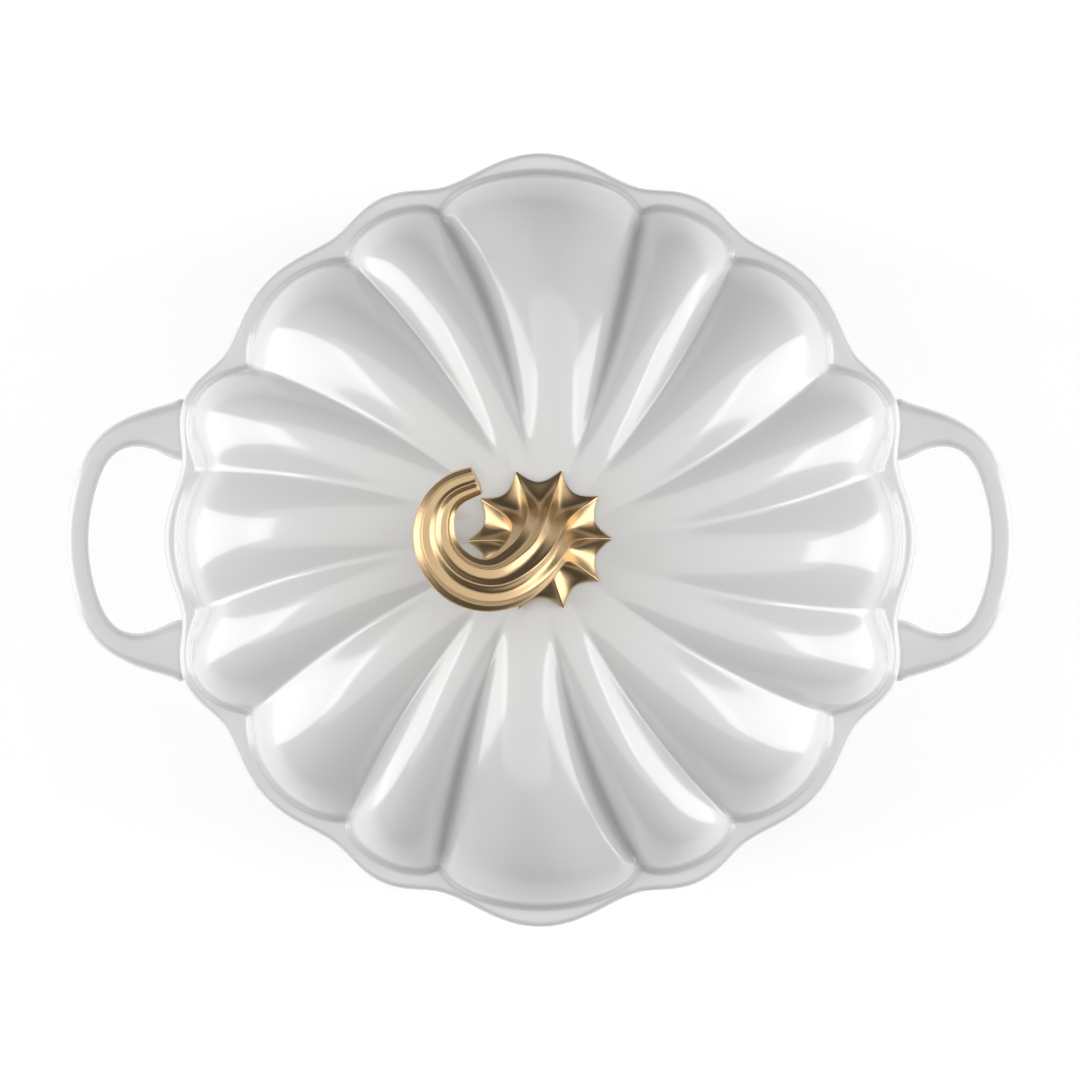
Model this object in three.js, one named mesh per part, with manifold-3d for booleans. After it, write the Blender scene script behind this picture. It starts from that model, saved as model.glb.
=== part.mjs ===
// A pumpkin-shaped casserole of enamelled cast iron: a ribbed pot with two loop handles, a domed lid
// with the same sixteen ribs, and a gilt knob like a curled pumpkin stalk, screwed on from inside.
// Millimetres, +Z up. The origin is the middle of the pot's foot, and +X runs out through a handle.
import * as THREE from 'three';
import { mergeVertices } from 'three/addons/utils/BufferGeometryUtils.js';
import Module from 'manifold-3d';

const wasm = await Module();
wasm.setup();

// ---- driving dimensions ----

// The ribs of one quarter, from the handle round to the side. width is in degrees, rim and dome are the
// radii that the crest reaches on the rim and at the dome's foot, swell is its height against the others.
const QUARTER = [
  { width: 23, rim: 126.3, dome: 121.1, swell: 1.0 },
  { width: 19.5, rim: 128.7, dome: 124.8, swell: 0.92 },
  { width: 24.5, rim: 126.6, dome: 120.8, swell: 1.05 },
  { width: 19, rim: 126.8, dome: 120.1, swell: 0.92 },
  { width: 31, rim: 130.2, dome: 122.8, swell: 1.25 },
];
const MEAN = { rim: 126.6, dome: 121 };
const STEPS_ACROSS_RIB = 6;

const WALL = 3.7; // casting thickness
const FLOOR = 4.8;
const FOOT_RADIUS = 88;
const RIM_TOP = 112; // where the pot ends and the lid begins
const RIM_DIP = 3.7; // how far the rim's outline runs in between two ribs
const RIM_PROUD = 0.5; // the pot's rim stands this far outside the lid's
const MOUTH_RADIUS = 117.6;
const POT_RIB_DEPTH = 6.5;

const LID_FLANGE = 5;
const LIP_DEPTH = 5; // the lid's locating lip, inside the pot's mouth
const LIP_THICKNESS = 3.8;
const LIP_PLAY = 1.2;
const DOME_RISE = 43;
const DOME_DISH = 3; // how far the dome sinks round the knob
const DISH_RADIUS = 30;
const LID_RIB_DEPTH = 6.5;
const SEAT_RADIUS = 13; // flat pad for the knob, above and below the lid's wall

const HANDLE_SIDES = 14;
const HANDLE_STEPS = 26;
const CAST_GAP = 0.3; // between the pot and the handles, which are cast in one with it

const STALK_TIPS = 10;
const STEPS_PER_TIP = 4;
const FIRST_TIP = 1; // degrees from +X
const STACK = {
  gasket: { inner: 3.5, outer: 11, height: 1 },
  flatWasher: { inner: 3.3, outer: 8, height: 1.2 },
  lockWasher: { inner: 3.3, outer: 6, height: 1.5 },
};
const SCREW = { radius: 2.9, length: 20, headRadius: 5.8, headHeight: 3.8, slot: 1.4, slotDepth: 1.8 };
const SCREW_HOLE = 3.25;
const CLAMPED = 0.05; // left between faces that the screw presses together

const degrees = THREE.MathUtils.degToRad;
const smoothstep = THREE.MathUtils.smoothstep;

const FLANGE_TOP = RIM_TOP + LID_FLANGE;

// ---- materials ----

const enamel = new THREE.MeshStandardMaterial({ color: 0xf1f2f1, roughness: 0.18, metalness: 0 });
const gilt = new THREE.MeshStandardMaterial({ color: 0xc39a5b, roughness: 0.3, metalness: 1 });
const steel = new THREE.MeshStandardMaterial({ color: 0xb9bcc0, roughness: 0.35, metalness: 1 });
const silicone = new THREE.MeshStandardMaterial({ color: 0xd8d8d4, roughness: 0.7, metalness: 0 });

// ---- ribs ----

// All sixteen ribs in order round the pot, each with the angle where it starts.
const RIBS = [];
let start = -QUARTER[0].width / 2;
for (let i = 0; i < 16; i++) {
  const place = i % 8;
  const rib = QUARTER[place <= 4 ? place : 8 - place];
  RIBS.push({ ...rib, start });
  start += rib.width;
}

// Where a section of the lathe lies: its rib, its angle, and how far across the rib it is.
function sectionAt(number) {
  const rib = RIBS[Math.floor(number / STEPS_ACROSS_RIB) % RIBS.length];
  const across = (number % STEPS_ACROSS_RIB) / STEPS_ACROSS_RIB;
  return { rib, across, angle: degrees(rib.start + across * rib.width) };
}

// Turns a profile and ribs it. Each point has the crest's radius r and height z; cut and drop are how much
// further in and lower the crease is, follows names the outline whose crests it keeps to, and round is
// above 1 where the crease is rounded.
function ribbed(profile) {
  const outline = profile.map(({ r, z }) => new THREE.Vector2(r, z));
  const body = new THREE.LatheGeometry(outline, RIBS.length * STEPS_ACROSS_RIB).rotateX(Math.PI / 2);
  const position = body.getAttribute('position');
  for (let i = 0; i < position.count; i++) {
    const { r, z, cut = 0, drop = 0, follows, reach = 1, round = 1.1 } = profile[i % profile.length];
    const { rib, across, angle } = sectionAt(Math.floor(i / profile.length));
    const crest = Math.sin(Math.PI * across) ** round;
    const own = follows ? reach * (rib[follows] - MEAN[follows]) : 0;
    const radius = r - cut + (cut + own) * crest;
    const height = z - drop + drop * rib.swell * crest;
    position.setXYZ(i, radius * Math.cos(angle), radius * Math.sin(angle), height);
  }
  return body;
}

// The points of a profile moved inwards by the wall's thickness, square to the profile.
function insideOf(points, thickness) {
  return points.map((point, i) => {
    const before = points[Math.max(i - 1, 0)];
    const after = points[Math.min(i + 1, points.length - 1)];
    const along = new THREE.Vector2(after.r - before.r, after.z - before.z).normalize();
    return { ...point, r: point.r - along.y * thickness, z: point.z + along.x * thickness };
  });
}

// ---- solids ----

function toSolid(geometry) {
  const bare = geometry.clone();
  bare.deleteAttribute('normal');
  bare.deleteAttribute('uv');
  const merged = mergeVertices(bare, 1e-3);
  const mesh = new wasm.Mesh({
    numProp: 3,
    vertProperties: merged.getAttribute('position').array,
    triVerts: new Uint32Array(merged.index.array),
  });
  return new wasm.Manifold(mesh);
}

function toGeometry(solid) {
  const mesh = solid.getMesh();
  const geometry = new THREE.BufferGeometry();
  geometry.setAttribute('position', new THREE.BufferAttribute(mesh.vertProperties, 3));
  geometry.setIndex(new THREE.BufferAttribute(mesh.triVerts, 1));
  geometry.computeVertexNormals();
  return geometry;
}

// A closed lathe round Z from pairs of radius and height.
function turned(pairs, segments = 32) {
  const outline = pairs.map(([r, z]) => new THREE.Vector2(r, z));
  return new THREE.LatheGeometry(outline, segments).rotateX(Math.PI / 2);
}

// A ring with square edges that stands on z.
function ring({ inner, outer, height }, z) {
  const top = z + height;
  return turned([[inner, z], [outer, z], [outer, top], [inner, top], [inner, z]]);
}

// ---- pot ----

// The side's outline up to the neck, as the crests run. The ribs deepen from the foot upwards.
function potSide() {
  const neck = new THREE.Vector2(121.5, RIM_TOP - 12);
  const side = new THREE.CubicBezierCurve(
    new THREE.Vector2(FOOT_RADIUS, 0),
    new THREE.Vector2(FOOT_RADIUS + 22, 3),
    new THREE.Vector2(124.5, 38),
    neck,
  );
  return side.getPoints(8).map(({ x, y }) => {
    const share = smoothstep(y, 0, 45);
    return { r: x, z: y, cut: POT_RIB_DEPTH * share, follows: 'rim', reach: share };
  });
}

// The rim is a flat flange whose outline waves gently with the ribs.
const onRim = { cut: RIM_DIP, follows: 'rim', round: 1.5 };

function potProfile() {
  const side = potSide();
  const inner = insideOf(side, WALL).slice(2).reverse();
  const edge = MEAN.rim + RIM_PROUD;
  return [
    { r: 0, z: 0 },
    ...side,
    { ...onRim, r: edge - 0.8, z: RIM_TOP - 8 },
    { ...onRim, r: edge, z: RIM_TOP - 7 },
    { ...onRim, r: edge, z: RIM_TOP - 1.2 },
    { ...onRim, r: edge - 1, z: RIM_TOP },
    { ...onRim, r: MOUTH_RADIUS + 0.6, z: RIM_TOP },
    { ...onRim, r: MOUTH_RADIUS, z: RIM_TOP - 1 },
    { ...onRim, r: MOUTH_RADIUS, z: RIM_TOP - 8 },
    ...inner,
    { r: FOOT_RADIUS - 8, z: FLOOR },
    { r: 0, z: FLOOR },
  ];
}

// ---- handles ----

// Half of a handle's centre line, from its root in the pot to the middle of the bar: x, y, z, then the
// bar's width seen from above and its depth.
const HANDLE_HALF = [
  [104, 36.0, 102.4, 22, 11],
  [114, 36.3, 102.5, 20.5, 11],
  [122, 36.8, 102.6, 17.5, 10.5],
  [128, 37.6, 102.8, 12.4, 10],
  [136, 37.2, 103.3, 8.8, 9.6],
  [144, 34.0, 103.9, 8.1, 9.4],
  [150.2, 27.0, 104.4, 7.9, 9.2],
  [154.4, 15.0, 104.8, 7.8, 9.2],
  [156.3, 0, 105, 7.8, 9.2],
];

// A closed bar swept round the loop. Its section is a rounded rectangle, flatter than an ellipse.
function handleBar() {
  const other = HANDLE_HALF.slice(0, -1).reverse().map(([x, y, z, w, d]) => [x, -y, z, w, d]);
  const stations = [...HANDLE_HALF, ...other];
  const line = new THREE.CatmullRomCurve3(stations.map(([x, y, z]) => new THREE.Vector3(x, y, z)));
  const size = new THREE.CatmullRomCurve3(stations.map(([, , , w, d]) => new THREE.Vector3(w, d, 0)));
  const bar = new THREE.CylinderGeometry(1, 1, 1, HANDLE_SIDES, HANDLE_STEPS);
  const position = bar.getAttribute('position');
  const squareness = 0.75;
  for (let i = 0; i < position.count; i++) {
    const t = position.getY(i) + 0.5;
    const centre = line.getPoint(t);
    const [width, depth] = size.getPoint(t).toArray();
    const across = new THREE.Vector3(0, 0, 1).cross(line.getTangent(t)).normalize();
    const flat = Math.sign(position.getX(i)) * Math.abs(position.getX(i)) ** squareness;
    const upright = Math.sign(position.getZ(i)) * Math.abs(position.getZ(i)) ** squareness;
    centre.addScaledVector(across, (flat * width) / 2);
    position.setXYZ(i, centre.x, centre.y, centre.z - (upright * depth) / 2);
  }
  return bar;
}

// The pot's outside, filled and grown by the casting gap, which trims the handle's roots.
function potEnvelope() {
  const outside = potProfile().slice(0, -1);
  const top = outside.findIndex(({ r }) => r === MOUTH_RADIUS + 0.6);
  const grown = outside.slice(1, top).map((point) => ({ ...point, r: point.r + CAST_GAP }));
  return toSolid(ribbed([{ r: 0, z: 0 }, ...grown, { r: 0, z: RIM_TOP }]));
}

function handle() {
  return toGeometry(toSolid(handleBar()).subtract(potEnvelope()));
}

// ---- lid ----

// The crest's height above the flange at a radius: a rounded shoulder, dished round the knob.
function domeHeight(r) {
  const shoulder = (1 - (r / MEAN.dome) ** 2.6) ** 0.7;
  return FLANGE_TOP + DOME_RISE * shoulder - DOME_DISH * Math.exp(-((r / DISH_RADIUS) ** 2));
}

// The dome from its foot up to the knob's seat. The creases fade out towards the middle.
function domePoints() {
  const radii = [121, 119.3, 116, 110.5, 103, 93, 82, 70, 57, 44, 32];
  return radii.map((r) => {
    const share = r / MEAN.dome;
    const drop = LID_RIB_DEPTH * smoothstep(r, 30, 85) * Math.sqrt(1 - share ** 4);
    return { r, z: domeHeight(r), cut: 4.8 * share ** 3, drop, follows: 'dome', reach: share ** 3 };
  });
}

const SEAT_TOP = Math.round(domeHeight(SEAT_RADIUS) * 10) / 10;
const SEAT_UNDER = SEAT_TOP - WALL;

function lidProfile() {
  const dome = domePoints();
  const inner = insideOf(dome.slice(2), WALL).reverse();
  const edge = MEAN.rim;
  const lip = MOUTH_RADIUS - LIP_PLAY;
  return [
    { r: SCREW_HOLE, z: SEAT_UNDER },
    { r: SEAT_RADIUS, z: SEAT_UNDER },
    ...inner,
    { ...onRim, r: lip - LIP_THICKNESS, z: RIM_TOP - LIP_DEPTH + 1 },
    { ...onRim, r: lip - LIP_THICKNESS + 1, z: RIM_TOP - LIP_DEPTH },
    { ...onRim, r: lip - 1, z: RIM_TOP - LIP_DEPTH },
    { ...onRim, r: lip, z: RIM_TOP - LIP_DEPTH + 1 },
    { ...onRim, r: lip, z: RIM_TOP },
    { ...onRim, r: edge - 1, z: RIM_TOP },
    { ...onRim, r: edge, z: RIM_TOP + 1 },
    { ...onRim, r: edge, z: FLANGE_TOP - 1.2 },
    { ...onRim, r: edge - 1.2, z: FLANGE_TOP },
    ...dome,
    { r: SEAT_RADIUS, z: SEAT_TOP },
    { r: SCREW_HOLE, z: SEAT_TOP },
    { r: SCREW_HOLE, z: SEAT_UNDER },
  ];
}

// ---- knob ----

const GASKET_BASE = SEAT_TOP + CLAMPED;
const KNOB_BASE = GASKET_BASE + STACK.gasket.height + CLAMPED;

// The stalk's centre line: straight up out of its star-shaped foot, then over and round in a curl.
function stalkLine() {
  const points = [
    [0, 0, 0],
    [0, 0, 9],
    [-0.8, -2.2, 17],
    [-5, -8.2, 24.5],
    [-17, -14, 29.8],
    [-30, -7.5, 31.4],
    [-34.5, 3.4, 31.8],
    [-31, 14.4, 32],
    [-20.5, 20.4, 33.4],
  ];
  return new THREE.CatmullRomCurve3(points.map(([x, y, z]) => new THREE.Vector3(x, y, z + KNOB_BASE)));
}

// Stations along the stalk: distance, radius over the ridges, and the flutes' depth as a share of it.
const STALK = [
  [0, 22.2, 0.19],
  [1.2, 22.4, 0.2],
  [2.6, 19.8, 0.25],
  [4.6, 16.6, 0.28],
  [7.2, 13.6, 0.27],
  [11, 11.2, 0.24],
  [16, 9.6, 0.2],
  [22, 8.8, 0.16],
  [28, 8.4, 0.13],
  [34, 8.1, 0.12],
  [40, 7.8, 0.12],
  [46, 7.5, 0.12],
  [52, 7.2, 0.12],
  [58, 6.8, 0.12],
  [64, 6.4, 0.12],
  [70, 6, 0.12],
  [76, 5.6, 0.12],
  [82, 5.2, 0.12],
  [88, 4.9, 0.12],
  [93.6, 4.6, 0.12],
];

// A tapering bar turned from the stations, fluted between its ridges and bent along the centre line.
function stalk() {
  const line = stalkLine();
  const end = STALK[STALK.length - 1][0];
  const outline = [[0, 0], ...STALK, [end, 0]].map(([distance, r]) => new THREE.Vector2(r, distance));
  const flutes = [0, ...STALK.map(([, , depth]) => depth), 0];
  const turn = degrees(90 + FIRST_TIP);
  const bar = new THREE.LatheGeometry(outline, STALK_TIPS * STEPS_PER_TIP, turn);
  const finest = 600;
  const frames = line.computeFrenetFrames(finest, false);
  const position = bar.getAttribute('position');
  for (let i = 0; i < position.count; i++) {
    const section = Math.floor(i / outline.length);
    const across = (section % STEPS_PER_TIP) / STEPS_PER_TIP;
    const scale = 1 - flutes[i % outline.length] * Math.sin(Math.PI * across) ** 0.8;
    const t = position.getY(i) / end;
    const frame = Math.round(t * finest);
    const point = line.getPointAt(t);
    point.addScaledVector(frames.binormals[frame], position.getX(i) * scale);
    point.addScaledVector(frames.normals[frame], position.getZ(i) * scale);
    position.setXYZ(i, point.x, point.y, point.z);
  }
  return bar;
}

const FLAT_WASHER_BASE = SEAT_UNDER - CLAMPED - STACK.flatWasher.height;
const LOCK_WASHER_BASE = FLAT_WASHER_BASE - CLAMPED - STACK.lockWasher.height;
const SCREW_UNDER_HEAD = LOCK_WASHER_BASE - CLAMPED;
const SCREW_TOP = SCREW_UNDER_HEAD + SCREW.length;

function knob() {
  const bottom = KNOB_BASE - 1;
  const deep = SCREW_TOP + 1.5;
  const hole = turned([[0, bottom], [SCREW_HOLE, bottom], [SCREW_HOLE, deep], [0, deep + 1.5]], 24);
  return toGeometry(toSolid(stalk()).subtract(toSolid(hole)));
}

// ---- what holds the knob on ----

// A split ring, square in section.
function lockWasher() {
  const { inner, outer, height } = STACK.lockWasher;
  const split = degrees(9);
  const outline = new THREE.Shape();
  outline.absarc(0, 0, outer, split, 2 * Math.PI - split, false);
  outline.absarc(0, 0, inner, 2 * Math.PI - split, split, true);
  const settings = { depth: height, bevelEnabled: false, curveSegments: 28 };
  return new THREE.ExtrudeGeometry(outline, settings).translate(0, 0, LOCK_WASHER_BASE);
}

// A pan-head screw pointing up, with a cross recess in its head.
function screw() {
  const under = SCREW_UNDER_HEAD;
  const face = under - SCREW.headHeight;
  const { radius, headRadius } = SCREW;
  const outline = [
    [0, face],
    [headRadius - 2, face],
    [headRadius - 0.5, face + 0.9],
    [headRadius, face + 2.2],
    [headRadius, under],
    [radius, under],
    [radius, SCREW_TOP - 1],
    [radius - 1, SCREW_TOP],
    [0, SCREW_TOP],
  ];
  let solid = toSolid(turned(outline, 24));
  for (const [x, y] of [[headRadius, SCREW.slot], [SCREW.slot, headRadius]]) {
    const slot = new THREE.BoxGeometry(x, y, SCREW.slotDepth * 2).translate(0, 0, face);
    solid = solid.subtract(toSolid(slot));
  }
  return toGeometry(solid);
}

// ---- the object ----

function piece(name, geometry, material) {
  const mesh = new THREE.Mesh(geometry, material);
  mesh.name = name;
  return mesh;
}

const casserole = new THREE.Group();
casserole.add(
  piece('pot_body', ribbed(potProfile()), enamel),
  piece('right_handle', handle(), enamel),
  piece('left_handle', handle().rotateZ(Math.PI), enamel),
  piece('lid', ribbed(lidProfile()), enamel),
  piece('stem_knob', knob(), gilt),
  piece('knob_gasket', ring(STACK.gasket, GASKET_BASE), silicone),
  piece('flat_washer', ring(STACK.flatWasher, FLAT_WASHER_BASE), steel),
  piece('lock_washer', lockWasher(), steel),
  piece('knob_screw', screw(), steel),
);

export default casserole;
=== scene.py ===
# %% [markdown]
# # A pumpkin-shaped casserole
#
# The real object is two iron castings under white enamel, a pot and its lid, with a gold knob screwed on.
# The CAD frame already holds their sizes, so each piece here is made to the frame's heights and stands in
# for the coarse solid of the same place. We start by loading that frame and read the heights that
# everything else hangs on.

# %% Load the frame
import math

import bmesh
import bpy
import numpy as np
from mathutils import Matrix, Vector


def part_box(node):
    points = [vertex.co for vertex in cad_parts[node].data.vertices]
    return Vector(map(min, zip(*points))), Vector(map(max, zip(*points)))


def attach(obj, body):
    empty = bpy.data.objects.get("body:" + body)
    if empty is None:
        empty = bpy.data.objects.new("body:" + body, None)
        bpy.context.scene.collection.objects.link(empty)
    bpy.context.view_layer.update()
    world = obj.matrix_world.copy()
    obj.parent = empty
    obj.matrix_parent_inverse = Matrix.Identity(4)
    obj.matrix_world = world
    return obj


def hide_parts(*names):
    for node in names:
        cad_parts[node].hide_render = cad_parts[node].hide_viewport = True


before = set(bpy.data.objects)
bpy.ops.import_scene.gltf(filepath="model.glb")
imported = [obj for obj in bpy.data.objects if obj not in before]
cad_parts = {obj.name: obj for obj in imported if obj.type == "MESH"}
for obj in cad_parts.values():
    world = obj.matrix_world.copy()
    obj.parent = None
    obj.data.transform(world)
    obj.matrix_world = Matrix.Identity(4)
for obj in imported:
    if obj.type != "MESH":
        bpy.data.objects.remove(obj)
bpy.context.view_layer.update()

# %% Heights read from the frame
MM = 0.001
RIM_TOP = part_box("pot_body")[1].z / MM  # where the pot ends and the lid begins
LID_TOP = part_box("lid")[1].z / MM
KNOB_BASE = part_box("stem_knob")[0].z / MM
SEAT_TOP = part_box("knob_gasket")[0].z / MM
SEAT_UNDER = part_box("flat_washer")[1].z / MM
LID_FLANGE = 5
FLANGE_TOP = RIM_TOP + LID_FLANGE
print(f"rim {RIM_TOP:.1f} mm, lid {LID_TOP:.1f} mm, knob from {KNOB_BASE:.1f} mm")

# %% [markdown]
# ## The ribs
#
# A pumpkin's ribs aren't all alike. Sixteen of them go round, in five widths that repeat in each quarter
# as in a mirror. Every ring of the pot and the lid follows the same ribs, so they're stated once. For
# each rib of a quarter that is its width in degrees, the radius of its crest on the rim and at the
# dome's foot, how far its crest swells over its creases, and how blunt its end is: 1 leaves the end
# round, and less makes it squarer.
#
# The creases between the ribs differ too, on the dome: in the radius they cut in to at its foot, the
# degrees they lean there, the share of the ribs' depth they sink, and the depth of the narrow groove
# along their bottom. Those next to the front and back ribs are the deepest, and lean away from them.
#
# The ribs are laid on by a formula that moves the rings' points, because no operator makes a dome
# whose creases fade out towards the middle. A rib's crest is a sine, and its crease is a V with a
# small round in it, as enamel leaves it: the glass runs into a crease and pools there.

# %% The ribs of one quarter, and all sixteen in order
QUARTER = [
    dict(width=23.0, rim=126.3, dome=121.1, swell=1.0, blunt=0.7),
    dict(width=19.5, rim=128.7, dome=124.6, swell=0.94, blunt=0.9),
    dict(width=24.5, rim=126.6, dome=120.8, swell=1.08, blunt=0.65),
    dict(width=19.0, rim=126.8, dome=119.8, swell=0.9, blunt=0.45),
    dict(width=31.0, rim=130.2, dome=122.8, swell=1.14, blunt=0.42),
]
MEAN = dict(rim=126.6, dome=121.0)
RIBS = [QUARTER[i % 8 if i % 8 <= 4 else 8 - i % 8] for i in range(16)]
CREASES = [
    dict(foot=116.3, lean=0, deep=0.5, groove=0),
    dict(foot=113, lean=0, deep=0.72, groove=0),
    dict(foot=113.3, lean=0, deep=0.95, groove=0.6),
    dict(foot=114, lean=-1.7, deep=1.15, groove=4.5),
]
CREASES += [dict(crease, lean=-crease["lean"]) for crease in CREASES[::-1]]
CREASES = [CREASES[(i - 1) % 8] for i in range(16)]  # the one where each of the sixteen ribs starts
RIB_STARTS = np.cumsum([0] + [rib["width"] for rib in RIBS[:-1]]) - QUARTER[0]["width"] / 2
STEPS_PER_RIB = 16
SECTIONS = STEPS_PER_RIB * len(RIBS)
print(len(RIBS), "ribs over", sum(rib["width"] for rib in RIBS), "degrees")


# %% A rib's height from its crease, 0, to its crest, 1
def crest(across, crease_round):
    """across runs from 0 to 1 over the rib. crease_round is 0 for a sharp crease, 1 for a soft one."""
    arch = np.sin(math.pi * across)
    rounded = np.sqrt(arch**2 + crease_round**2) - crease_round
    return rounded / (np.sqrt(1 + crease_round**2) - crease_round)


def gathered(step, amount):
    """Even steps from 0 to 1, drawn together towards both ends."""
    return step - amount * np.sin(2 * math.pi * step) / (2 * math.pi)


# %% [markdown]
# ## Turning a shape ring by ring
#
# Pots are drawn as half an outline. In Blender that is a circle whose edge is extruded, raised and
# resized once for each point of the outline, which keeps clean rings of quads. Each point of an
# outline here is a small record: its radius and height on the crest, whether its ribs are those of the
# rim or of the dome, and then how its creases differ. A plain point has no ribs.

# %% Helpers for modelling by hand
SAME_PLACE = 1e-6  # metres


def deselect():
    if bpy.context.object and bpy.context.object.mode != "OBJECT":
        bpy.ops.object.mode_set(mode="OBJECT")
    bpy.ops.object.select_all(action="DESELECT")


def select_points(piece, wanted):
    """Selects a piece's points in edit mode by their place."""
    mesh = bmesh.from_edit_mesh(piece.data)
    for vertex in mesh.verts:
        vertex.select = wanted(vertex.co)
    mesh.select_flush(True)
    mesh.select_flush(False)
    bmesh.update_edit_mesh(piece.data)


PLAIN = dict(
    cut=0.0,  # how far a crease cuts inwards: mm, or on the dome a share of the way to its own foot
    drop=0.0,  # how far a crease sinks, in mm
    reach=1.0,  # the share of its own rib's size that a crest takes up
    soft=0.12,  # how round the creases are
    twist=0.0,  # degrees that the ribs have swirled
    groove=0.0,  # the share of its groove that a crease has
)


def point(r, z, follows=None, **shape):
    return {"r": r, "z": z, "follows": follows, **PLAIN, **shape}


def moved(one, inwards, down):
    return dict(one, r=one["r"] - inwards, z=one["z"] - down)


def extrude_ring(before, after):
    """Extrudes the selected ring up to the next height and resizes it to the next radius."""
    (r0, z0), (r1, z1) = before, after
    bpy.ops.mesh.extrude_edges_move(TRANSFORM_OT_translate={"value": (0, 0, (z1 - z0) * MM)})
    grow = r1 / r0
    bpy.ops.transform.resize(value=(grow, grow, 1), center_override=(0, 0, z1 * MM))


def turn(name, outline, sections, closed=False):
    """Turns an outline into a mesh. A closed outline is a ring, and an open one leaves two round holes."""
    deselect()
    first, last = outline[0], outline[-1]
    middle = (0, 0, first[1] * MM)
    bpy.ops.mesh.primitive_circle_add(vertices=sections, radius=first[0] * MM, location=middle)
    piece = bpy.context.object
    piece.name = name
    bpy.ops.object.transform_apply()
    bpy.ops.object.mode_set(mode="EDIT")
    bpy.ops.mesh.select_mode(type="EDGE")
    bpy.ops.mesh.select_all(action="SELECT")
    for before, after in zip(outline, outline[1:]):
        extrude_ring(before, after)
    if closed:
        select_points(piece, lambda co: on_ring(co, first) or on_ring(co, last))
        bpy.ops.mesh.bridge_edge_loops()
    face_outwards()
    return piece


def face_outwards():
    """Ends an edit with every face pointing out."""
    bpy.ops.mesh.select_all(action="SELECT")
    bpy.ops.mesh.normals_make_consistent(inside=False)
    bpy.ops.object.mode_set(mode="OBJECT")


def on_ring(co, ring):
    radius, height = ring
    return abs(co.z - height * MM) < SAME_PLACE and abs(math.hypot(co.x, co.y) - radius * MM) < SAME_PLACE


def close_holes(piece):
    """Closes each hole with a fan round one point. It comes after smoothing, which is slow at a pole."""
    deselect()
    piece.select_set(True)
    bpy.context.view_layer.objects.active = piece
    bpy.ops.object.mode_set(mode="EDIT")
    bpy.ops.mesh.select_mode(type="EDGE")
    bpy.ops.mesh.select_all(action="DESELECT")
    bpy.ops.mesh.select_non_manifold()
    bpy.ops.mesh.extrude_edges_move()
    bpy.ops.mesh.merge(type="COLLAPSE")
    face_outwards()
    return piece


def smooth(piece, levels):
    """Subdivides a piece for good and shades it smooth."""
    deselect()
    piece.select_set(True)
    bpy.context.view_layer.objects.active = piece
    bpy.ops.object.modifier_add(type="SUBSURF")
    piece.modifiers[-1].levels = piece.modifiers[-1].render_levels = levels
    bpy.ops.object.modifier_apply(modifier=piece.modifiers[-1].name)
    bpy.ops.object.shade_smooth()
    print(piece.name, len(piece.data.polygons), "faces")
    return piece


# %% Laying the ribs on a turned piece
GROOVE_HALF = 1.6  # half the width of a groove, in mm
CREASE_STEPS = 0.6  # how much finer the steps are next to a crease


def along_creases(rib, across, key):
    """A number that each crease has, blended from a rib's first crease to its last."""
    first = np.array([crease[key] for crease in CREASES])
    return first[rib] * (1 - across) + np.roll(first, -1)[rib] * across


def places(piece):
    found = np.empty(len(piece.data.vertices) * 3)
    piece.data.vertices.foreach_get("co", found)
    return found.reshape(-1, 3)


def set_places(piece, found):
    piece.data.vertices.foreach_set("co", found.ravel())
    piece.data.update()


def rib_places(plain, outline):
    """Where the ribs take the points of a plainly turned mesh. Each point belongs to an outline point."""
    radius, height = np.hypot(plain[:, 0], plain[:, 1]) / MM, plain[:, 2] / MM
    ends = np.array([(p["r"], p["z"]) for p in outline])
    nearest = ((radius[:, None] - ends[:, 0]) ** 2 + (height[:, None] - ends[:, 1]) ** 2).argmin(axis=1)
    of = {key: np.array([p[key] for p in outline])[nearest] for key in PLAIN}
    follows = {key: np.array([p["follows"] == key for p in outline])[nearest] for key in MEAN}
    on_dome = follows["dome"]

    # which rib each point is on, how far across it, and how far up from crease to crest
    number = np.round(np.arctan2(plain[:, 1], plain[:, 0]) / (2 * math.pi) * SECTIONS).astype(int) % SECTIONS
    rib = number // STEPS_PER_RIB
    across = gathered((number % STEPS_PER_RIB) / STEPS_PER_RIB, CREASE_STEPS)
    high = crest(across, of["soft"])
    its = {key: np.array([one[key] for one in RIBS])[rib] for key in QUARTER[0]}

    # round the middle
    lean = np.where(on_dome, of["reach"] * along_creases(rib, across, "lean"), 0)
    angle = np.radians(RIB_STARTS[rib] + across * its["width"] + lean + of["twist"])

    # in and out
    out = np.where(on_dome, high ** (1 - (1 - its["blunt"]) * of["reach"]), high)
    for key in MEAN:
        radius = radius + np.where(follows[key], of["reach"] * (its[key] - MEAN[key]) * out, 0)
    to_foot = MEAN["dome"] - along_creases(rib, across, "foot")
    radius = radius - np.where(on_dome, of["cut"] * to_foot, of["cut"]) * (1 - out)

    # up and down
    deep = np.where(on_dome, along_creases(rib, across, "deep"), 1)
    height = height - of["drop"] * deep * (1 - its["swell"] * high)
    from_crease = np.minimum(across, 1 - across) * np.radians(its["width"]) * radius
    groove = along_creases(rib, np.round(across), "groove") * np.exp(-((from_crease / GROOVE_HALF) ** 2))
    height = height - np.where(on_dome, groove * of["groove"], 0)
    return np.column_stack([radius * np.cos(angle), radius * np.sin(angle), height]) * MM


def ribbed(name, outline, closed=False):
    piece = turn(name, [(p["r"], p["z"]) for p in outline], SECTIONS, closed)
    set_places(piece, rib_places(places(piece), outline))
    smooth(piece, 1)
    return piece if closed else close_holes(piece)


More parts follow.
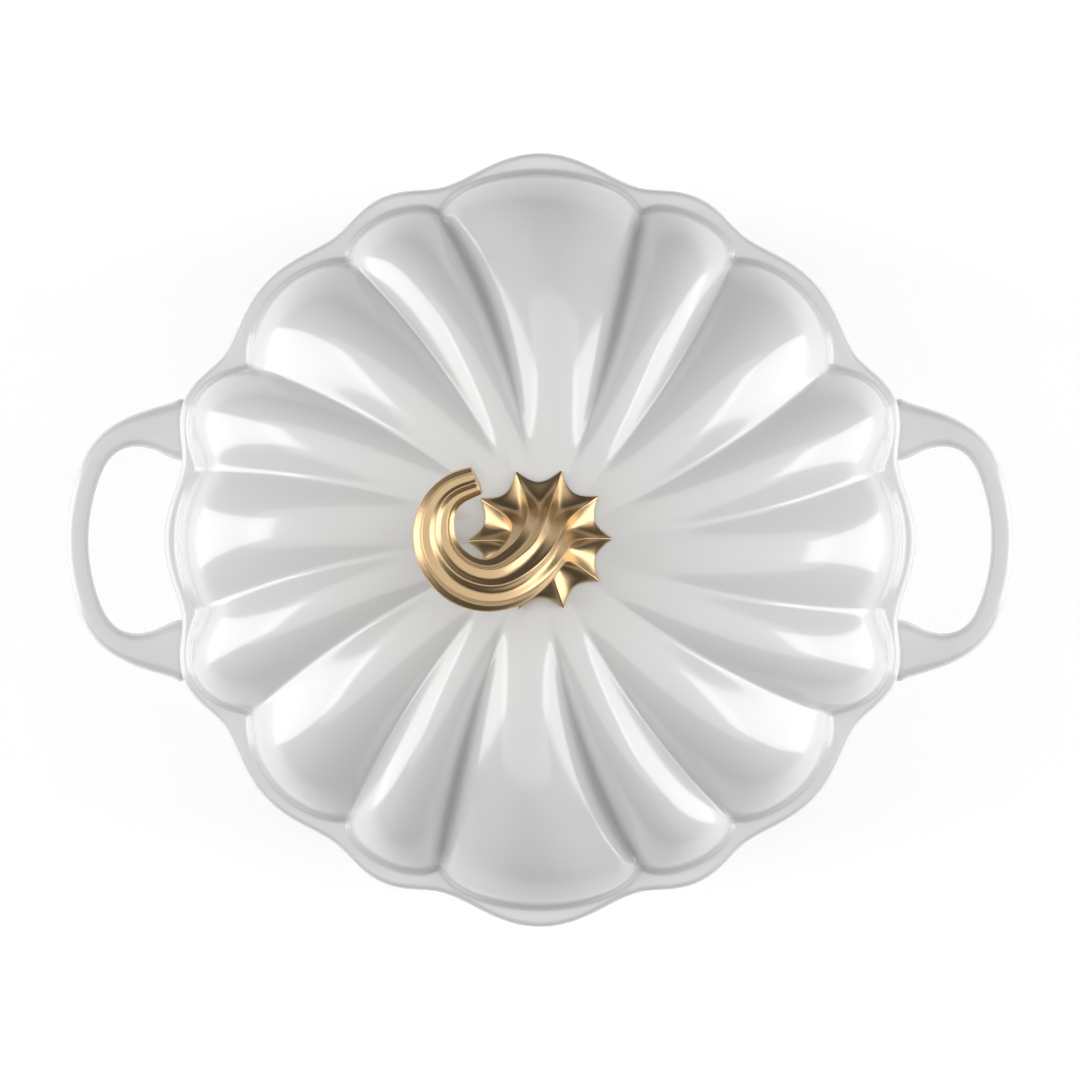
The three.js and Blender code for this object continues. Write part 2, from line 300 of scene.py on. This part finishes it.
# %% [markdown]
# ## The pot
#
# The pot's side swells out from a flat foot and draws in a little under the rim. The curve is a
# Bezier, as in the CAD, and the inner wall is the same curve moved square to itself by the casting's
# thickness. Close pairs of rings on each side of an edge keep the subdivision from rounding it away:
# the closer the pair, the tighter the edge.

# %% Curves for the outlines
WALL = 3.7
FLOOR = 4.8
FOOT_RADIUS = 88
MOUTH_RADIUS = 117.6
POT_RIB_DEPTH = 6.5
RIM_RIB_DEPTH = 3.7
RIM_SOFTNESS = 0.9
SIDE = [(FOOT_RADIUS, 0), (FOOT_RADIUS + 22, 3), (124.5, 38), (121.5, RIM_TOP - 12)]  # a Bezier
SIDE_RINGS = 16
SIDE_RIBS_FULL = 45  # the height where the ribs have their whole depth


def ramp(x, low, high):
    return min(max((x - low) / (high - low), 0), 1)


def smoothstep(x, low, high):
    t = ramp(x, low, high)
    return t * t * (3 - 2 * t)


def bezier(a, b, c, d, steps):
    found = []
    for i in range(steps + 1):
        t = i / steps
        weights = ((1 - t) ** 3, 3 * (1 - t) ** 2 * t, 3 * (1 - t) * t**2, t**3)
        found.append(tuple(sum(w * p[k] for w, p in zip(weights, (a, b, c, d))) for k in (0, 1)))
    return found


def inside_of(points, thickness):
    """The points moved inwards, square to the line through them."""
    found = []
    for i, one in enumerate(points):
        before, after = points[max(i - 1, 0)], points[min(i + 1, len(points) - 1)]
        dr, dz = after["r"] - before["r"], after["z"] - before["z"]
        length = math.hypot(dr, dz)
        found.append(moved(one, thickness * dz / length, -thickness * dr / length))
    return found


# %% The pot's outline, from the foot up the outside, over the rim and down the inside
def on_rim(r, z):
    return point(r, z, "rim", cut=RIM_RIB_DEPTH, soft=RIM_SOFTNESS)


def pot_side():
    """The side's curve, on which the ribs fade in from the foot up."""
    found = []
    for r, z in bezier(*SIDE, SIDE_RINGS):
        share = smoothstep(z, 0, SIDE_RIBS_FULL)
        found.append(point(r, z, "rim", cut=POT_RIB_DEPTH * share, reach=share, soft=0.15))
    return found


def pot_outline():
    side = pot_side()
    edge = MEAN["rim"] + 0.5
    foot = [point(4, 0), point(60, 0), point(FOOT_RADIUS - 2, 0), point(FOOT_RADIUS - 0.6, 0.02)]
    rim = [
        on_rim(edge - 1.6, RIM_TOP - 8.2),
        on_rim(edge - 0.4, RIM_TOP - 7.2),
        on_rim(edge, RIM_TOP - 6),
        on_rim(edge, RIM_TOP - 1.6),
        on_rim(edge - 0.35, RIM_TOP - 0.4),
        on_rim(edge - 1.6, RIM_TOP),
        on_rim(MOUTH_RADIUS + 1.2, RIM_TOP),
        on_rim(MOUTH_RADIUS + 0.2, RIM_TOP - 0.3),
        on_rim(MOUTH_RADIUS, RIM_TOP - 1.2),
        on_rim(MOUTH_RADIUS, RIM_TOP - 8),
    ]
    inside = inside_of(side, WALL)[4:][::-1]  # without the first points, which lie below the floor
    bottom = [point(FOOT_RADIUS - 5, FLOOR + 0.5), point(FOOT_RADIUS - 9, FLOOR)]
    bottom += [point(60, FLOOR), point(4, FLOOR)]
    return foot + side[1:] + rim + inside + bottom


pot = ribbed("pot_casting", pot_outline())
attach(pot, "pot")
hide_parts("pot_body")

# %% [markdown]
# ## The handles
#
# Each handle is a loop of iron bar that grows out of the pot's side, just under the rim: wide at its
# roots and 8 mm across for the fingers, with a flat top and rounded edges. A bar is easiest to shape
# straight and then to bend. So it is a ring extruded station by station, each resized to its own width
# and depth, and a Curve modifier then lays it along the loop. The modifier stretches the bar to the
# curve, so the stations are shares of its length. The first stations are narrow, so that the roots'
# corners stay inside the pot's wall.

# %% A straight bar, and bending it
def bar(name, stations, sides):
    """A closed bar along +Z. A station is its distance, then its width along X and its depth along Y."""
    deselect()
    bpy.ops.mesh.primitive_circle_add(vertices=sides, radius=1, location=(0, 0, stations[0][0]))
    piece = bpy.context.object
    piece.name = name
    bpy.ops.object.transform_apply()
    bpy.ops.object.mode_set(mode="EDIT")
    bpy.ops.mesh.select_mode(type="EDGE")
    bpy.ops.mesh.select_all(action="SELECT")
    size = (2, 2)  # across the circle of radius 1
    for number, (distance, width, depth) in enumerate(stations):
        if number:
            rise = distance - stations[number - 1][0]
            bpy.ops.mesh.extrude_edges_move(TRANSFORM_OT_translate={"value": (0, 0, rise)})
        grow = (width / size[0], depth / size[1], 1)
        bpy.ops.transform.resize(value=grow, center_override=(0, 0, distance))
        size = (width, depth)
    face_outwards()
    return piece


def bend(piece, line):
    """Lays a piece that stands along +Z along a smooth line of points, stretched to its length."""
    deselect()
    bpy.ops.curve.primitive_bezier_curve_add()
    path = bpy.context.object
    spline = path.data.splines[0]
    spline.bezier_points.add(len(line) - 2)
    for knot, place in zip(spline.bezier_points, line):
        knot.co = Vector(place) * MM
        knot.handle_left_type = knot.handle_right_type = "AUTO"
    path.data.resolution_u = 24
    path.data.use_stretch = path.data.use_deform_bounds = True
    deselect()
    piece.select_set(True)
    bpy.context.view_layer.objects.active = piece
    bpy.ops.object.modifier_add(type="CURVE")
    piece.modifiers[-1].object = path
    piece.modifiers[-1].deform_axis = "POS_Z"
    bpy.ops.object.modifier_apply(modifier=piece.modifiers[-1].name)
    bpy.data.objects.remove(path)
    return piece


# %% The loop of one handle
HANDLE_LINE = [(115, 38.2, 102.5), (122, 37.2, 102.6), (128, 37.6, 102.8), (136, 37.2, 103.3)]
HANDLE_LINE += [(144.3, 34.4, 103.9), (150.8, 27.2, 104.4), (155, 15, 104.8), (156.8, 0, 105)]
# the share of the way round the loop, the bar's width and its depth
HANDLE_HALF = [(0, 12, 7), (0.02, 19, 9.6), (0.045, 22.4, 10.9), (0.07, 19.2, 10.7), (0.1, 15.8, 10.4)]
HANDLE_HALF += [(0.14, 12.2, 10), (0.185, 9.7, 9.7), (0.24, 8.4, 9.4), (0.3, 8, 9.3), (0.4, 7.8, 9.2)]
HANDLE_HALF += [(0.5, 7.7, 9.2)]
FLATNESS = 3.2  # 2 makes the bar's section an ellipse, and more makes it a rounded rectangle
STRAIGHT = 0.2  # the straight bar's length, which the bend replaces by the loop's
BAR_SIDES = 24


def flattened(piece, stations):
    """Flattens the sides of a straight bar."""
    found = places(piece)
    distances = np.array([one[0] for one in stations])
    sizes = np.array([one[1:] for one in stations])
    nearest = np.abs(found[:, 2][:, None] - distances).argmin(axis=1)
    share = np.abs(found[:, :2] / (sizes[nearest] / 2))
    found[:, :2] *= ((share**FLATNESS).sum(axis=1) ** (-1 / FLATNESS))[:, None]
    set_places(piece, found)


def loop_handle(name, side):
    line = HANDLE_LINE + [(x, -y, z) for x, y, z in HANDLE_LINE[-2::-1]]
    line = [(side * x, side * y, z) for x, y, z in line]
    stations = HANDLE_HALF + [(1 - share, width, depth) for share, width, depth in HANDLE_HALF[-2::-1]]
    stations = [(share * STRAIGHT, width * MM, depth * MM) for share, width, depth in stations]
    piece = bar(name, stations, BAR_SIDES)
    flattened(piece, stations)
    bend(piece, line)
    close_holes(smooth(piece, 2))
    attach(piece, "pot")
    print(name, "reaches", round(max(abs(p[0]) for p in places(piece)) / MM, 1), "mm out")
    return piece


right_handle = loop_handle("right_loop_handle", 1)
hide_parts("right_handle")
left_handle = loop_handle("left_loop_handle", -1)
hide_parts("left_handle")

# %% [markdown]
# ## The lid
#
# The dome is a rounded shoulder with a slight dish round the knob. Near the flange the creases cut in
# sideways, and the ribs' ends are square-shouldered. Higher up the creases sink straight down, swirl a
# little, and fade out at the knob's foot. Under the flange a lip drops into the pot's mouth, with a
# little play all round.

# %% The lid's outline, from the screw hole out along the underside and back over the top
DOME_RISE = 43
DOME_DISH = 3
DISH_RADIUS = 30
SHOULDER = 2.6  # 2 would make the dome's section an ellipse, and more squares its shoulder
LID_RIB_DEPTH = 11.5
RIBS_START, RIBS_FULL = 22, 100  # the radii where the creases start and are at their deepest
GROOVE_START, GROOVE_FULL, GROOVE_END = 30, 90, 114
SWIRL = -0.085  # degrees for each mm inwards
SEAT_RADIUS = 13
SCREW_HOLE = 3.25
DOME_RINGS = [120.45, 119.9, 118.8, 117.2, 115, 112.2, 108.8, 104.8, 100.2, 95.2, 90]
DOME_RINGS += [84.5, 79, 73.5, 68, 62, 56, 50, 44, 38, 32, 26, 20]
LIP_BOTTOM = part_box("lid")[0].z / MM
LIP_RADIUS = MOUTH_RADIUS - 1.2


def dome_height(r):
    round_shoulder = math.sqrt(1 - (r / MEAN["dome"]) ** SHOULDER)
    return FLANGE_TOP + DOME_RISE * round_shoulder - DOME_DISH * math.exp(-((r / DISH_RADIUS) ** 2))


def dome_point(r, z):
    """A point of the dome. Its creases deepen from the knob outwards, and go at the dome's foot."""
    share = min(r / MEAN["dome"], 1)
    edge = share**3
    drop = LID_RIB_DEPTH * ramp(r, RIBS_START, RIBS_FULL) * math.sqrt(1 - edge**2)
    groove = smoothstep(r, GROOVE_START, GROOVE_FULL) * (1 - smoothstep(r, GROOVE_END, MEAN["dome"]))
    twist = SWIRL * max(MEAN["dome"] - max(r, DOME_RINGS[-1]), 0)
    return point(r, z, "dome", cut=edge, drop=drop, reach=edge, soft=0.1, twist=twist, groove=groove)


def dome_points():
    """The dome from the small fillet at its foot up to the knob's seat."""
    fillet = [(123.4, 0), (122.6, 0.12), (121.8, 0.6), (121.2, 1.5), (120.8, 3)]
    found = [dome_point(r, FLANGE_TOP + rise) for r, rise in fillet]
    return found + [dome_point(r, dome_height(r)) for r in DOME_RINGS]


def lid_outline():
    dome = dome_points()
    edge = MEAN["rim"]
    hole = [point(SCREW_HOLE, SEAT_UNDER + 0.4), point(SCREW_HOLE + 0.3, SEAT_UNDER)]
    pad = [point(SEAT_RADIUS - 1, SEAT_UNDER), point(SEAT_RADIUS + 1, SEAT_UNDER + 0.05)]
    lip = [
        on_rim(LIP_RADIUS - 3.8, LIP_BOTTOM + 3.5),
        on_rim(LIP_RADIUS - 3.7, LIP_BOTTOM + 1),
        on_rim(LIP_RADIUS - 3, LIP_BOTTOM + 0.2),
        on_rim(LIP_RADIUS - 2, LIP_BOTTOM),
        on_rim(LIP_RADIUS - 0.9, LIP_BOTTOM + 0.2),
        on_rim(LIP_RADIUS, LIP_BOTTOM + 1.2),
        on_rim(LIP_RADIUS, RIM_TOP - 0.5),
        on_rim(LIP_RADIUS + 0.6, RIM_TOP),
    ]
    flange = [
        on_rim(edge - 1.8, RIM_TOP),
        on_rim(edge - 0.4, RIM_TOP + 0.4),
        on_rim(edge, RIM_TOP + 1.5),
        on_rim(edge, FLANGE_TOP - 1.8),
        on_rim(edge - 0.5, FLANGE_TOP - 0.5),
        on_rim(edge - 2, FLANGE_TOP),
    ]
    top = [point(SEAT_RADIUS + 1, SEAT_TOP), point(SCREW_HOLE + 0.4, SEAT_TOP)]
    top += [point(SCREW_HOLE, SEAT_TOP - 0.4)]
    underside = [one for one in inside_of(dome[:-1], WALL)[::-1] if one["r"] < LIP_RADIUS - 4.5]
    middle = dome[-1]["twist"]
    hole, pad, top = ([dict(one, twist=middle) for one in part] for part in (hole, pad, top))
    return hole + pad + underside + lip + flange + dome + top


lid = ribbed("ribbed_lid", lid_outline(), closed=True)
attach(lid, "lid_assembly")
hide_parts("lid")

# %% [markdown]
# ## The knob
#
# The knob is a cast pumpkin stalk. Ten thin ridges rise from the points of a star, with hollow scoops
# between them, and run on as soft ribs along a curl to its cut end. It is turned straight first, then
# the scoops are pressed in, and last the whole is bent along the curl.

# %% Stations along the stalk: distance, radius over the ridges, depth of the scoops, softness of ridges
STALK = [
    (0, 23.5, 0.22, 0),
    (0.4, 24.2, 0.22, 0),
    (1.2, 24.2, 0.23, 0),
    (2.2, 22.8, 0.27, 0),
    (3.4, 20.3, 0.32, 0),
    (4.8, 17.8, 0.35, 0),
    (6.6, 15.4, 0.36, 0),
    (8.8, 13.3, 0.34, 0.1),
    (11.5, 11.6, 0.29, 0.2),
    (15, 10.5, 0.24, 0.4),
    (19, 9.9, 0.19, 0.6),
    (24, 9.7, 0.16, 0.8),
    (30, 9.6, 0.14, 1),
    (37, 9.45, 0.14, 1),
    (44, 9.2, 0.14, 1),
    (51, 8.75, 0.14, 1),
    (58, 8.15, 0.14, 1),
    (65, 7.5, 0.14, 1),
    (72, 6.8, 0.14, 1),
    (79, 6.1, 0.14, 1),
    (86, 5.45, 0.14, 1),
    (91.6, 4.95, 0.14, 1),
    (92.9, 4.85, 0.13, 1),
    (93.4, 4.6, 0.1, 1),
    (93.5, 3.8, 0.05, 1),
    (93.3, 3.0, 0, 1),
]
STALK_LINE = [(0, 0, 0), (0, 0, 9), (-0.8, -2.4, 17), (-5.2, -9, 24.5), (-17.6, -15, 29.8)]
STALK_LINE += [(-30.2, -8.4, 31.4), (-34.3, 3, 31.8), (-29.9, 14.8, 32), (-20, 19.1, 33.3)]
TIPS = 10
STEPS_PER_TIP = 10
RIDGE_STEPS = 0.75  # how much finer the steps are next to a ridge
FIRST_TIP = 1  # degrees from +X
WIDE_SCOOP, SOFT_SCOOP = 0.7, 1.5  # powers of a sine: under 1 leaves a thin ridge, over 1 a round one


def scooped(piece):
    """Presses the scoops between the ridges of the straight stalk."""
    found = places(piece)
    distance = found[:, 2] / MM
    stations = np.array(STALK)
    nearest = np.abs(distance[:, None] - stations[:, 0]).argmin(axis=1)
    depth, soft = stations[nearest, 2], stations[nearest, 3]
    turned = np.degrees(np.arctan2(found[:, 1], found[:, 0])) - FIRST_TIP
    step = np.mod(turned / (360 / TIPS), 1)
    across = gathered(step, RIDGE_STEPS)
    swung = np.radians(turned + (across - step) * 360 / TIPS + FIRST_TIP)
    radius = np.hypot(found[:, 0], found[:, 1])
    found[:, :2] = radius[:, None] * np.column_stack([np.cos(swung), np.sin(swung)])
    arch = np.sin(math.pi * across)
    shape = (1 - soft) * arch**WIDE_SCOOP + soft * arch**SOFT_SCOOP
    found[:, :2] *= (1 - depth * shape)[:, None]
    set_places(piece, found)


stalk = turn("stalk_knob", [(r, s) for s, r, depth, soft in STALK], TIPS * STEPS_PER_TIP)
deselect()
stalk.select_set(True)
bpy.ops.transform.rotate(value=math.radians(FIRST_TIP), orient_axis="Z", center_override=(0, 0, 0))
bpy.context.view_layer.objects.active = stalk
bpy.ops.object.transform_apply()
scooped(stalk)
bend(stalk, [(x, y, z + KNOB_BASE) for x, y, z in STALK_LINE])
close_holes(smooth(stalk, 2))
print("stalk from", places(stalk).min(axis=0) / MM, "to", places(stalk).max(axis=0) / MM)
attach(stalk, "lid_assembly")
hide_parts("stem_knob")

# %% [markdown]
# ## Finishes
#
# Shader maths reads best as Python, so a small class wraps a socket and turns + and * into Math nodes.
# Any other node comes from one method that takes its type, its settings and its inputs.

# %% A small language for shader nodes
class Value:
    """What a node gives out, with Python's operators."""

    def __init__(self, finish, socket):
        self.finish, self.socket = finish, socket

    def maths(self, operation, other):
        return self.finish.node("ShaderNodeMath", {0: self, 1: other}, operation=operation)

    def __add__(self, other):
        return self.maths("ADD", other)

    def __mul__(self, other):
        return self.maths("MULTIPLY", other)


class Finish:
    """One material and its nodes."""

    def __init__(self, name):
        self.material = bpy.data.materials.new(name)
        self.material.use_nodes = True
        self.nodes = self.material.node_tree.nodes
        self.links = self.material.node_tree.links
        self.surface = self.nodes["Principled BSDF"]
        self.object_place = self.node("ShaderNodeTexCoord", {}, output="Object")

    def put(self, socket, given):
        if isinstance(given, Value):
            self.links.new(given.socket, socket)
        else:
            socket.default_value = given

    def node(self, kind, inputs, output=0, **settings):
        made = self.nodes.new(kind)
        for key, setting in settings.items():
            setattr(made, key, setting)
        for key, given in inputs.items():
            self.put(made.inputs[key], given)
        return Value(self, made.outputs[output])

    def noise(self, scale, detail=2.0, roughness=0.5):
        inputs = {"Vector": self.object_place, "Scale": scale, "Detail": detail, "Roughness": roughness}
        return self.node("ShaderNodeTexNoise", inputs)

    def between(self, low, high, share):
        """A colour between two, by share. The Mix node's colours are its sockets 6 and 7, and 2 outside."""
        made = {"Factor": share, 6: low, 7: high}
        return self.node("ShaderNodeMix", made, output=2, data_type="RGBA")

    def clamped(self, given, low, high):
        """given taken from low..high to 0..1."""
        return self.node("ShaderNodeMapRange", {"Value": given, "From Min": low, "From Max": high})

    def bump(self, height, strength, distance):
        return self.node("ShaderNodeBump", {"Height": height, "Strength": strength, "Distance": distance})

    def set(self, **sockets):
        """Sets the surface's sockets, named with _ for each space."""
        for name, given in sockets.items():
            self.put(self.surface.inputs[name.replace("_", " ")], given)
        return self.material


# %% [markdown]
# ## White enamel
#
# Enamel is glass fired onto the iron. It is smooth but never quite flat: it has slow ripples, like
# orange peel, that bend its reflections, and its white is a touch warmer in places. A clear coat over
# a soft white base gives the two layers of shine that glass over pigment has.

# %% Enamel
WHITE, WARM_WHITE = (0.8, 0.805, 0.8, 1), (0.77, 0.77, 0.755, 1)


def enamel():
    finish = Finish("white_enamel")
    mottle = finish.noise(14, detail=3)
    fine = finish.noise(160, detail=2)
    ripple = finish.noise(95, detail=1.5, roughness=0.4)
    slow = finish.noise(32, detail=1)
    normal = finish.bump(ripple * 0.4 + slow, 0.22, 0.0006)
    tone = finish.between(WHITE, WARM_WHITE, finish.clamped(mottle, 0.35, 0.75) * 0.5)
    finish.set(Base_Color=tone, Roughness=fine * 0.06 + 0.22, Normal=normal, IOR=1.5)
    return finish.set(Coat_Weight=1.0, Coat_Roughness=0.11, Coat_IOR=1.65)


white_enamel = enamel()
for piece in (pot, right_handle, left_handle, lid):
    piece.data.materials.append(white_enamel)

# %% Gold of the knob
LIGHT_GOLD, DEEP_GOLD = (0.74, 0.54, 0.31, 1), (0.64, 0.45, 0.24, 1)


def satin_gold():
    finish = Finish("satin_gold")
    cloud = finish.noise(60, detail=4)
    normal = finish.bump(finish.noise(1400, detail=2), 0.12, 0.0002)
    tone = finish.between(LIGHT_GOLD, DEEP_GOLD, cloud)
    return finish.set(Base_Color=tone, Metallic=1.0, Roughness=cloud * 0.12 + 0.26, Normal=normal)


stalk.data.materials.append(satin_gold())

# %% Steel of the screw and washers, and the silicone gasket
STEEL = (0.56, 0.57, 0.58, 1)
PALE_SILICONE, DULL_SILICONE = (0.78, 0.78, 0.75, 1), (0.7, 0.7, 0.66, 1)


def steel():
    finish = Finish("turned_steel")
    scratch = finish.noise(900, detail=3)
    normal = finish.bump(scratch, 0.15, 0.0001)
    return finish.set(Base_Color=STEEL, Metallic=1.0, Roughness=scratch * 0.2 + 0.25, Normal=normal)


def silicone():
    finish = Finish("clear_silicone")
    cloud = finish.noise(220, detail=3)
    return finish.set(Base_Color=finish.between(PALE_SILICONE, DULL_SILICONE, cloud), Roughness=0.55)


def finish_node(node, material):
    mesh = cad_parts[node].data
    mesh.materials.clear()
    mesh.materials.append(material)


steel_finish = steel()
for node in ("knob_screw", "flat_washer", "lock_washer"):
    finish_node(node, steel_finish)
finish_node("knob_gasket", silicone())

# %% [markdown]
# ## The studio
#
# The object stands on a white table that glows a little, as a light table does. A soft light on each
# side lights the ribs' ends and flanks, and a wide one overhead fills the top. The lights leave the
# front and back ribs' ends a little darker. The camera looks straight down from 1.5 m above the rim,
# through a long lens, with +Y at the top of the frame.

# %% The table
TABLE_SIZE = 30


def light_table():
    deselect()
    bpy.ops.mesh.primitive_plane_add(size=TABLE_SIZE)
    table = bpy.context.object
    table.name = "light_table"
    finish = Finish("table_white")
    finish.set(Base_Color=(0.9, 0.9, 0.9, 1), Roughness=0.6)
    table.data.materials.append(finish.set(Emission_Color=(1, 1, 1, 1), Emission_Strength=0.3))


light_table()


# %% Lights
def soft_light(name, place, size, power, aim):
    bpy.ops.object.light_add(type="AREA", location=place)
    light = bpy.context.object
    light.name = name
    light.data.shape = "RECTANGLE"
    light.data.size, light.data.size_y = size
    light.data.energy = power
    light.visible_camera = False
    light.rotation_euler = (Vector(aim) - Vector(place)).to_track_quat("-Z", "Y").to_euler()


LIGHT_HEIGHT = 0.35
for side in (-1, 1):
    place, aim = (side, 0, LIGHT_HEIGHT), (0, 0, LIGHT_HEIGHT)
    soft_light("side_light", place, size=(0.7, 1.5), power=9, aim=aim)
soft_light("ceiling_light", (0, 0, 1.5), size=(4, 2), power=23, aim=(0, 0, 0))

world = bpy.data.worlds.new("studio")
world.use_nodes = True
background = world.node_tree.nodes["Background"]
background.inputs["Color"].default_value = (1, 1, 1, 1)
background.inputs["Strength"].default_value = 0.06
bpy.context.scene.world = world
bpy.context.scene.view_settings.view_transform = "Standard"

# %% Camera
CAMERA_ABOVE_RIM = 1.5
VIEW_WIDTH = 0.3633  # what the frame takes in across the rim
SENSOR_WIDTH = 36
bpy.ops.object.camera_add(location=(0, 0, RIM_TOP * MM + CAMERA_ABOVE_RIM), rotation=(0, 0, 0))
camera = bpy.context.object
camera.data.sensor_width = SENSOR_WIDTH
camera.data.lens = SENSOR_WIDTH * CAMERA_ABOVE_RIM / VIEW_WIDTH
bpy.context.scene.camera = camera

# %% The end
bpy.context.view_layer.update()
